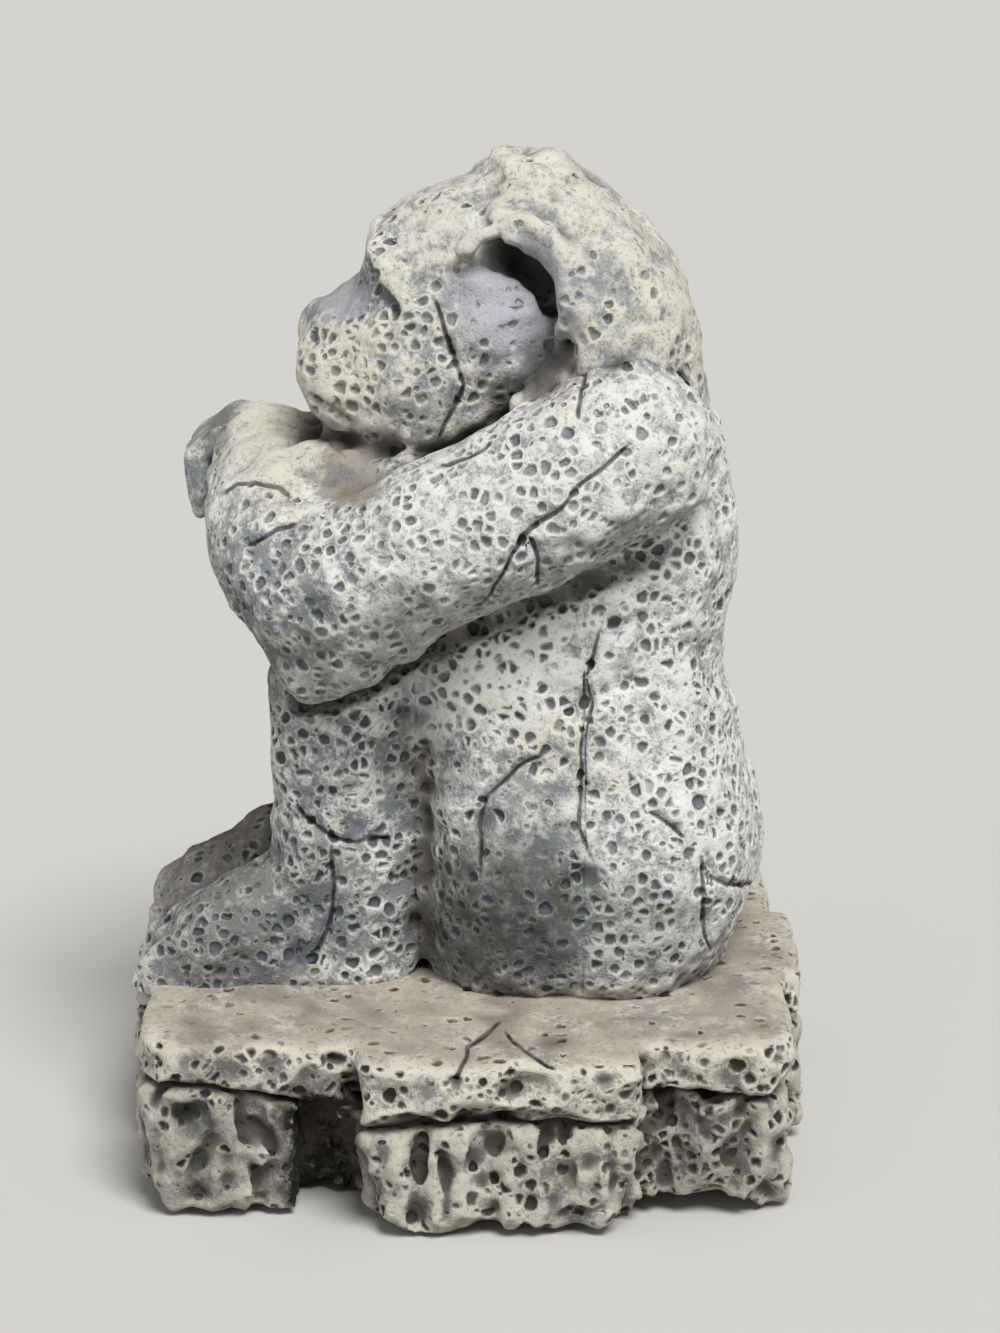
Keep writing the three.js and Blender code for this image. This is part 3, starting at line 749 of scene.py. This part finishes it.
def pitPattern(tree, rest, amount, wall):
    place = addNode(tree, "ShaderNodeVectorMath", {0: rest, "Scale": metre}, operation="SCALE")[0]
    inputs = {"Vector": place, "Scale": 1 / pits["warpSize"], "Detail": pits["warpDetail"]}
    wobble = addNode(tree, "ShaderNodeTexNoise", inputs)["Color"]
    wobble = addNode(tree, "ShaderNodeVectorMath", {0: wobble, 1: (0.5, 0.5, 0.5)}, operation="SUBTRACT")[0]
    inputs = {0: wobble, "Scale": 2 * pits["warp"]}
    wobble = addNode(tree, "ShaderNodeVectorMath", inputs, operation="SCALE")[0]
    place = addNode(tree, "ShaderNodeVectorMath", {0: place, 1: wobble}, operation="ADD")[0]
    known = {"amount": amount, "wall": wall, "floors": 0.0, "rims": 0.0}
    for look in (pits["large"], pits["small"]):
        inputs = {"Vector": place, "Scale": 1 / look["cell"]}
        cell = addNode(tree, "ShaderNodeTexVoronoi", inputs)
        edge = addNode(tree, "ShaderNodeTexVoronoi", inputs, feature="DISTANCE_TO_EDGE")
        known["fromMiddle"], known["fromEdge"] = cell["Distance"], edge["Distance"]
        chances = addNode(tree, "ShaderNodeSeparateXYZ", {0: cell["Color"]})
        known["sizeChance"], known["chance"], known["depthChance"] = chances
        low, high = look["radius"]
        known.update(least=low, spread=high - low, depth=look["depth"], share=look["share"])
        workOut(tree, pitRecipe, known)
    workOut(tree, [("rim", "SUBTRACT", "rims", "floors"), ("rim", "LINEAR", "rim", 0.0, 1.0)], known)
    return known["floors"], known["rim"]


# Sinks the pits into the mesh
def pitTree():
    tree = bpy.data.node_groups.new("sink the pits", "GeometryNodeTree")
    tree.interface.new_socket("Geometry", in_out="INPUT", socket_type="NodeSocketGeometry")
    tree.interface.new_socket("Geometry", in_out="OUTPUT", socket_type="NodeSocketGeometry")
    source = addNode(tree, "NodeGroupInput", {})[0]
    place = addNode(tree, "GeometryNodeInputPosition", {})[0]
    amount = addNode(tree, "GeometryNodeInputNamedAttribute", {"Name": "pitting"}, data_type="FLOAT")[0]
    normal = addNode(tree, "GeometryNodeInputNormal", {})[0]
    floor = pitPattern(tree, place, amount, pits["meshWall"])[0]
    sunk = addNode(tree, "ShaderNodeMath", {0: floor, 1: -pits["depth"] / metre}, operation="MULTIPLY")[0]
    offset = addNode(tree, "ShaderNodeVectorMath", {0: normal, "Scale": sunk}, operation="SCALE")[0]
    moved = addNode(tree, "GeometryNodeSetPosition", {"Geometry": source, "Offset": offset})[0]
    addNode(tree, "NodeGroupOutput", {0: moved})
    return tree


sinkPits = pitTree()


def sinkInto(piece):
    step = piece.modifiers.new("pits", "NODES")
    step.node_group = sinkPits
    graph = bpy.context.evaluated_depsgraph_get()
    shown = piece.evaluated_get(graph)
    pitted = bpy.data.meshes.new_from_object(shown, preserve_all_data_layers=True, depsgraph=graph)
    piece.modifiers.clear()
    piece.data = pitted


# Stone-filled polyresin, cast, washed dark and dry-brushed: matt and chalky, with dark pits and pale rims,
# and with shade painted into its hollows and on what faces down
figurePaint = {
    "colours": {
        "stone": "979a9b",
        "cool": "818890",
        "lilac": "d2d2db",
        "brush": "f0f0ea",
        "cream": "e3e0d0",
        "wash": "525960",
        # Near black for the painted shade in the deepest hollows, and for the fill of the cracks
        "crevice": "161514",
        # Brown for the painted shade in hollows and in the fine hollows of the relief
        "shade": "5f574e",
        # Tan for dust, and for the painted brown shade under the chin and at the neck
        "dust": "aea28d",
        # Dark olive for soot and for painted shade
        "soot": "37352a",
    },
    "patterns": {  # size in mm, detail and roughness
        "mottle": (4.0, 3.0, 0.6),
        "patch": (1.6, 3.0, 0.6),
        "streak": (0.9, 4.0, 0.7),
        "flake": (0.4, 3.0, 0.75),
        "grit": (0.22, 2.0, 0.6),
    },
    "edgeCatch": 0.5,
    "dipFrom": 0.55,
    "dipFull": 0.72,
    "roughness": 0.85,
    "ior": 1.5,
    "specular": 0.3,
}
plinthColours = {
    "stone": "959189",
    "cool": "858583",
    "brush": "dcdacc",
    "dust": "bbb1a0",
    "wash": "3d3b35",
    # Near black, also for the painted shade in the recess under the slab
    "soot": "1c1a15",
}
plinthPaint = dict(figurePaint, edgeCatch=0.85, dipFrom=0.5, dipFull=0.63)
plinthPaint["colours"] = dict(figurePaint["colours"], **plinthColours)
paintedBy = (*finishAndShade, "crevice", "edge", "crack", "crackSide")
paintRecipe = [
    ("cooler", "SMOOTHSTEP", "mottle", 0.38, 0.62),
    # The dry brush catches rims, edges and high spots, and misses the shallow dips
    ("high", "MULTIPLY_ADD", "edge", -5.0, 2.5),
    ("caught", "MULTIPLY", "streak", 1.4),
    ("caught", "MULTIPLY_ADD", "high", "edgeCatch", "caught"),
    ("caught", "MULTIPLY_ADD", "flake", 1.5, "caught"),
    ("caught", "MULTIPLY_ADD", "rim", 0.4, "caught"),
    ("caught", "MULTIPLY_ADD", "patch", -1.2, "caught"),
    ("caught", "MULTIPLY_ADD", "brush", 0.9, "caught"),
    ("brushed", "SMOOTHSTEP", "caught", 1.15, 1.9),
    ("brushed", "MULTIPLY", "brushed", 0.97),
    ("creamy", "MULTIPLY_ADD", "mottle", 0.8, "cream"),
    ("creamy", "SMOOTHSTEP", "creamy", 0.5, 1.1),
    ("bluish", "MULTIPLY", "lilac", 0.8),
    # Dust lies on what faces up; under the chin and at the neck the same coat is painted brown shade
    ("upward", "SMOOTHSTEP", "rise", 0.1, 0.85),
    ("settled", "SMOOTHSTEP", "mottle", 0.25, 0.6),
    ("dusty", "MULTIPLY", "upward", "dust"),
    ("dusty", "MULTIPLY", "dusty", "settled"),
    # Soot is left low down; shade is painted on what faces down and wherever the soot amounts paint it, in
    # the same coat
    ("under", "SMOOTHSTEP", "rise", 0.0, -0.65),
    ("under", "MULTIPLY", "under", 0.75),
    ("sooty", "MAXIMUM", "soot", "under"),
    ("smeared", "SMOOTHSTEP", "streak", 0.1, 0.6),
    ("sooty", "MULTIPLY", "sooty", "smeared"),
    ("sooty", "MULTIPLY", "sooty", 0.85),
    # The dark wash runs into dips and pits. Painted shade darkens the fine hollows of the relief, and the
    # hollows and gaps between parts, darkest in the deepest
    ("dipped", "SMOOTHSTEP", "edge", "dipFrom", "dipFull"),
    ("dipped", "MULTIPLY", "dipped", 0.8),
    # Painted shade in the fine hollows of the relief
    ("flaked", "SMOOTHSTEP", "flake", 0.45, 0.3),
    ("flaked", "MULTIPLY", "flaked", 0.4),
    ("pooled", "MULTIPLY_ADD", "streak", 0.8, 0.9),
    ("washed", "MULTIPLY", "floor", "pooled"),
    ("washed", "LINEAR", "washed", 0.0, 1.0),
    ("washed", "MULTIPLY", "washed", "wash"),
    ("spared", "MULTIPLY_ADD", "lilac", -0.6, 1.0),
    ("washed", "MULTIPLY", "washed", "spared"),
    # Painted shade in the hollows and between parts, near black in the deepest
    ("shaded", "SMOOTHSTEP", "crevice", 0.54, 0.68),
    ("shaded", "MULTIPLY", "shaded", 0.65),
    ("deep", "SMOOTHSTEP", "crevice", 0.62, 0.84),
    # It fills the middle of a crack, here more and there less
    ("aside", "ABSOLUTE", "crackSide"),
    ("line", "SMOOTHSTEP", "aside", 0.2, 0.07),
    ("nearCrack", "SMOOTHSTEP", "crack", 0.6, 0.3),
    ("line", "MULTIPLY", "line", "nearCrack"),
    ("uneven", "MULTIPLY_ADD", "patch", 0.9, 0.35),
    ("line", "MULTIPLY", "line", "uneven"),
    ("line", "LINEAR", "line", 0.0, 1.0),
    # Relief that is too fine for the mesh, in mm
    ("relief", "MULTIPLY", "floor", -0.3),
    ("relief", "MULTIPLY_ADD", "grit", 0.06, "relief"),
    ("relief", "MULTIPLY_ADD", "streak", 0.08, "relief"),
    ("relief", "MULTIPLY_ADD", "flake", 0.12, "relief"),
    ("relief", "MULTIPLY_ADD", "line", -0.12, "relief"),
]
coats = [  # how much of each coat, and its colour, from the bottom up
    ("cooler", "cool"),
    ("brushed", "pale"),
    ("bluish", "lilac"),
    ("dusty", "dust"),
    ("sooty", "soot"),
    ("dipped", "wash"),
    ("flaked", "shade"),
    ("washed", "wash"),
    ("shaded", "shade"),
    ("deep", "crevice"),
    ("line", "crevice"),
]


def castResin(name, paint):
    material = bpy.data.materials.new(name)
    material.use_nodes = True
    tree = material.node_tree
    tree.nodes.clear()
    known = {key: paint[key] for key in ("edgeCatch", "dipFrom", "dipFull")}
    for key in paintedBy:
        known[key] = addNode(tree, "ShaderNodeAttribute", {}, attribute_name=key)["Fac"]
    rest = addNode(tree, "ShaderNodeAttribute", {}, attribute_name="rest")["Vector"]
    place = addNode(tree, "ShaderNodeVectorMath", {0: rest, "Scale": metre}, operation="SCALE")[0]
    known["floor"], known["rim"] = pitPattern(tree, rest, known["pitting"], pits["paintWall"])
    for key, (size, detail, roughness) in paint["patterns"].items():
        inputs = {"Vector": place, "Scale": 1 / size, "Detail": detail, "Roughness": roughness}
        known[key] = addNode(tree, "ShaderNodeTexNoise", inputs)["Fac"]
    normal = addNode(tree, "ShaderNodeNewGeometry", {})["Normal"]
    known["rise"] = addNode(tree, "ShaderNodeSeparateXYZ", {0: normal})[2]
    workOut(tree, paintRecipe, known)

    colours = {key: hexColour(code) for key, code in paint["colours"].items()}
    inputs = {"Factor": known["creamy"], 6: colours["brush"], 7: colours["cream"]}
    colours["pale"] = addNode(tree, "ShaderNodeMix", inputs, data_type="RGBA")[2]
    colour = colours["stone"]
    for share, coat in coats:
        inputs = {"Factor": known[share], 6: colour, 7: colours[coat]}
        colour = addNode(tree, "ShaderNodeMix", inputs, data_type="RGBA")[2]

    inputs = {"Strength": 1.0, "Distance": 1 / metre, "Height": known["relief"]}
    bump = addNode(tree, "ShaderNodeBump", inputs)[0]
    inputs = {"Base Color": colour, "Roughness": paint["roughness"], "Normal": bump}
    inputs.update({"IOR": paint["ior"], "Specular IOR Level": paint["specular"]})
    shader = addNode(tree, "ShaderNodeBsdfPrincipled", inputs)[0]
    addNode(tree, "ShaderNodeOutputMaterial", {"Surface": shader})
    return material


figureResin = castResin("washed cast resin", figurePaint)
plinthResin = castResin("dusty cast resin", plinthPaint)


# Cuts the cracks into a casting, adds it and sinks its pits
def addCasting(volume, node, points, quads, normals, facing, values, material):
    stray = np.stack([valuesAt(volume, field, points) for field in volume["wander"]], 1)
    values["crack"], values["crackSide"] = cracksOver(points, facing, node, stray)
    points = points - normals * crackDepth(values["crack"])[:, None]
    values["rest"] = points / metre
    sinkInto(addPiece(castName(node), node, points, quads, values, material))
    print(node, len(quads), "faces")


volume["wander"] = crackWander(volume)
for node in figureNodes:
    points, quads = largestBody(*castingSkin(node))
    normals = pointNormals(points, quads)
    values = finishAndShadeOver(volume, node, points, hollows, finishAndShade)
    addCasting(volume, node, points, quads, normals, normals, values, figureResin)

# Plinth: broken masonry under a worn slab. Roughness is given as size and height in mm, and seed
plinth = {
    "low": (-28.2, -27.6, -0.8),
    "high": (28.2, 27.6, 16.2),
    "round": 0.45,
    "underside": 0.4,
    "undersideRamp": 1.5,  # the stone is less broken near the underside
    "undersideShare": 0.2,
    "joint": 9.5,
    "jointWave": ((3, 3, 30), 0.35, 20),
    "jointDepth": 0.55,
    "jointHalfWidth": 0.26,
    "jointOverlap": 0.02,
    "blockJoint": -0.9,  # the joint lies lower on the side blocks
    "blockFrom": 22.6,
    "blockRamp": 1.0,
    "slabWear": (0.9, 0.36, 21),
    "slabWearLevel": 0.4,
    "slabEdge": 0.4,  # the wear starts this far below the slab's top
    "slabRamp": 0.8,
    "grain": (1.2, 0.08, 22),
    "gouges": ((0.7, 0.7, 2.2), 0.08, 23),
    "chips": (0.4, 0.1, 24),
    "breaks": (2.2, 0.12, 25),
    "ridges": ((0.5, 0.5, 1.7), 0.36, 27),
    "ridgeLevel": 0.6,
    "proud": 0.3,
    "deepest": 0.6,
    "courseSwell": 0.3,
    "courseRamp": 0.6,
    "notch": [(22.8, 14.2, 3.0), (2.2, 1.1, 2.8)],  # centre and radii
    "notchFillet": 0.4,
}


# Rises from 0 to 1 over so many mm
def ramp(gap, over):
    return np.clip(gap / over, 0, 1)


base = workVolume(plinth["low"], plinth["high"])
stones = [castingField(base, node) for node in ("plinth_slab", "plinth_course")]
block = soften(np.minimum(*stones), plinth["round"])
x, z = np.abs(base["x"]), base["z"]
size, height, seed = plinth["jointWave"]
jointZ = plinth["joint"] + height * lumps(base, size, seed)[:, :, :1]
jointZ = jointZ + plinth["blockJoint"] * ramp(x - plinth["blockFrom"], plinth["blockRamp"])
onSide = ramp(slabTop - plinth["slabEdge"] - z, plinth["slabRamp"])
onCourse = ramp(jointZ - z, plinth["courseRamp"])
size, height, seed = plinth["slabWear"]
block = block + height * (np.abs(lumps(base, size, seed)) - plinth["slabWearLevel"]) * onSide
size, height, seed = plinth["grain"]
block = block + height * lumps(base, size, seed)
broken = 0
for key in ("gouges", "chips", "breaks"):
    size, height, seed = plinth[key]
    broken = broken + height * lumps(base, size, seed)
size, height, seed = plinth["ridges"]
broken = broken + height * (np.abs(lumps(base, size, seed)) - plinth["ridgeLevel"])
broken = np.clip(broken, -plinth["proud"], plinth["deepest"]) - plinth["courseSwell"]
offFloor = (z - plinth["underside"]) / plinth["undersideRamp"]
block = block + broken * onCourse * np.clip(offFloor, plinth["undersideShare"], 1)
block = np.maximum(block, plinth["underside"] - z)
block = block + plinth["jointDepth"] * np.exp(-(((z - jointZ) / plinth["jointHalfWidth"]) ** 2))
bothSides(egg, base, block, *plinth["notch"], plinth["notchFillet"], cut=True)
# The wider reach lets the painted shade of the hollows fill the recess under the slab
baseHollows = hollowsOf(block, {"crevice": 2.4, "edge": 0.55})
print("plinth carved")

baseFinishAndShade = {
    "pitting": {"usual": 0.85, "start": {"course": 0.55}, "patches": {"rearStone": ((690, 1150), 70, 0.9)}},
    "brush": {
        "usual": 0.58,
        "start": {"course": 0.6},
        "patches": {
            # No dry brush in the recess under the slab, where its shade is painted
            "recess": ((318, 1150), 50, 0.0),
            "slabCorner": ((210, 1080), 50, 0.4),
            "sideBlock": ((480, 1180), 60, 0.75),
        },
    },
    "cream": {"usual": 0.5},
    "lilac": {"usual": 0.0},
    "dust": {"usual": 0.35},
    "wash": {"usual": 1.0},
    # This coat darkens the course and the slab's corner, and paints the shade in the recess under the slab
    # near black
    "soot": {
        "usual": 0.1,
        "start": {"course": 0.35},
        "patches": {
            "slabCorner": ((210, 1080), 50, 0.4),
            "recessTop": ((318, 1125), 46, 1.3),
            "recessFoot": ((318, 1185), 46, 1.3),
            "rearStone": ((700, 1160), 80, 0.65),
            "frontStone": ((190, 1160), 70, 0.65),
        },
    },
}
# On the slab's top, pits are fewer and dust lies thicker
slabTopLook = {"from": 0.8, "ramp": 0.5, "tilt": (2, -0.8)}
slabTopChange = {"pitting": -0.62, "brush": -0.08, "dust": 0.42}

base["wander"] = crackWander(base)
for node, past in (("plinth_slab", jointZ - z), ("plinth_course", z - jointZ)):
    points, quads = largestBody(*skinOf(base, np.maximum(block, past - plinth["jointOverlap"])))
    normals = pointNormals(points, quads)
    values = finishAndShadeOver(base, node, points, baseHollows, baseFinishAndShade)
    steep, level = slabTopLook["tilt"]
    top = ramp(points[:, 2] - slabTop + slabTopLook["from"], slabTopLook["ramp"])
    top = top * np.clip(normals[:, 2] * steep + level, 0, 1)
    for key, change in slabTopChange.items():
        values[key] = values[key] + change * top
    outward = normals + np.sign(points) * (1, 0, 0)  # cracks run over the slab's top too
    addCasting(base, node, points, quads, normals, outward, values, plinthResin)

# Pressed wool felt: soft, matt and fibrous
felt = {
    "colour": "2f3b31",
    "light": "46544a",
    "fibre": 0.35,
    "detail": 4.0,
    "curl": 1.5,
    "bump": 0.6,
    "bumpHeight": 0.3,
    "roughness": 0.95,
    "sheen": 0.3,
    "cut": (0.029, 0.032),
    "low": (-16, -17.4, -1.5),
    "high": (16, 17.4, 2.5),
    "round": 0.15,
    "fuzz": (0.5, 0.03, 30),
    "thick": 1,
}


def pressedFelt(look):
    material = bpy.data.materials.new("pressed wool felt")
    material.use_nodes = True
    tree = material.node_tree
    tree.nodes.clear()
    inputs = {"Scale": metre / look["fibre"], "Detail": look["detail"], "Distortion": look["curl"]}
    inputs["Vector"] = addNode(tree, "ShaderNodeTexCoord", {})["Object"]
    fibre = addNode(tree, "ShaderNodeTexNoise", inputs)["Fac"]
    inputs = {"Factor": fibre, 6: hexColour(look["colour"]), 7: hexColour(look["light"])}
    colour = addNode(tree, "ShaderNodeMix", inputs, data_type="RGBA")[2]
    inputs = {"Strength": look["bump"], "Distance": look["bumpHeight"] / metre, "Height": fibre}
    bump = addNode(tree, "ShaderNodeBump", inputs)[0]
    inputs = {"Base Color": colour, "Roughness": look["roughness"], "Normal": bump}
    inputs["Sheen Weight"] = look["sheen"]
    shader = addNode(tree, "ShaderNodeBsdfPrincipled", inputs)[0]
    addNode(tree, "ShaderNodeOutputMaterial", {"Surface": shader})
    return material


pad = workVolume(felt["low"], felt["high"])
size, height, seed = felt["fuzz"]
padField = soften(castingField(pad, "felt_pad"), felt["round"]) + height * lumps(pad, size, seed)
padPoints, padQuads = largestBody(*skinOf(pad, padField))
padPoints[:, 2] = np.clip(padPoints[:, 2], 0, felt["thick"])
feltPiece = addPiece("feltPad", "felt_pad", padPoints, padQuads, {}, pressedFelt(felt))
print("felt laid")

# Plain pale floor and soft studio light from above and to the right
stage = {
    "floor": "cfcdc9",
    "floorHalf": 3,  # in metres
    "floorRoughness": 0.9,
    "world": 0.26,
    "key": {"comesFrom": (0.5, 0.22, 0.9), "strength": 2.9, "spread": 26},
    "fill": {"comesFrom": (0.6, -0.6, 0.3), "strength": 0.25, "spread": 60},
}


def paleFloor(look):
    material = bpy.data.materials.new("pale matt floor")
    material.use_nodes = True
    shader = material.node_tree.nodes["Principled BSDF"]
    shader.inputs["Base Color"].default_value = hexColour(look["floor"])
    shader.inputs["Roughness"].default_value = look["floorRoughness"]
    half = look["floorHalf"]
    mesh = bpy.data.meshes.new("floor")
    corners = [(-half, -half, 0), (half, -half, 0), (half, half, 0), (-half, half, 0)]
    mesh.from_pydata(corners, [], [(0, 1, 2, 3)])
    mesh.materials.append(material)
    floor = bpy.data.objects.new("floor", mesh)
    bpy.context.scene.collection.objects.link(floor)


def addSun(name, comesFrom, strength, spread):
    data = bpy.data.lights.new(name, "SUN")
    data.energy, data.angle = strength, math.radians(spread)
    sun = bpy.data.objects.new(name, data)
    bpy.context.scene.collection.objects.link(sun)
    sun.rotation_euler = (-Vector(comesFrom)).to_track_quat("-Z", "Y").to_euler()


paleFloor(stage)
for name in ("key", "fill"):
    addSun(name, **stage[name])
world = bpy.data.worlds.new("studio")
world.use_nodes = True
world.node_tree.nodes["Background"].inputs["Color"].default_value = (1, 1, 1, 1)
world.node_tree.nodes["Background"].inputs["Strength"].default_value = stage["world"]
bpy.context.scene.world = world
bpy.context.scene.view_settings.view_transform = "Standard"
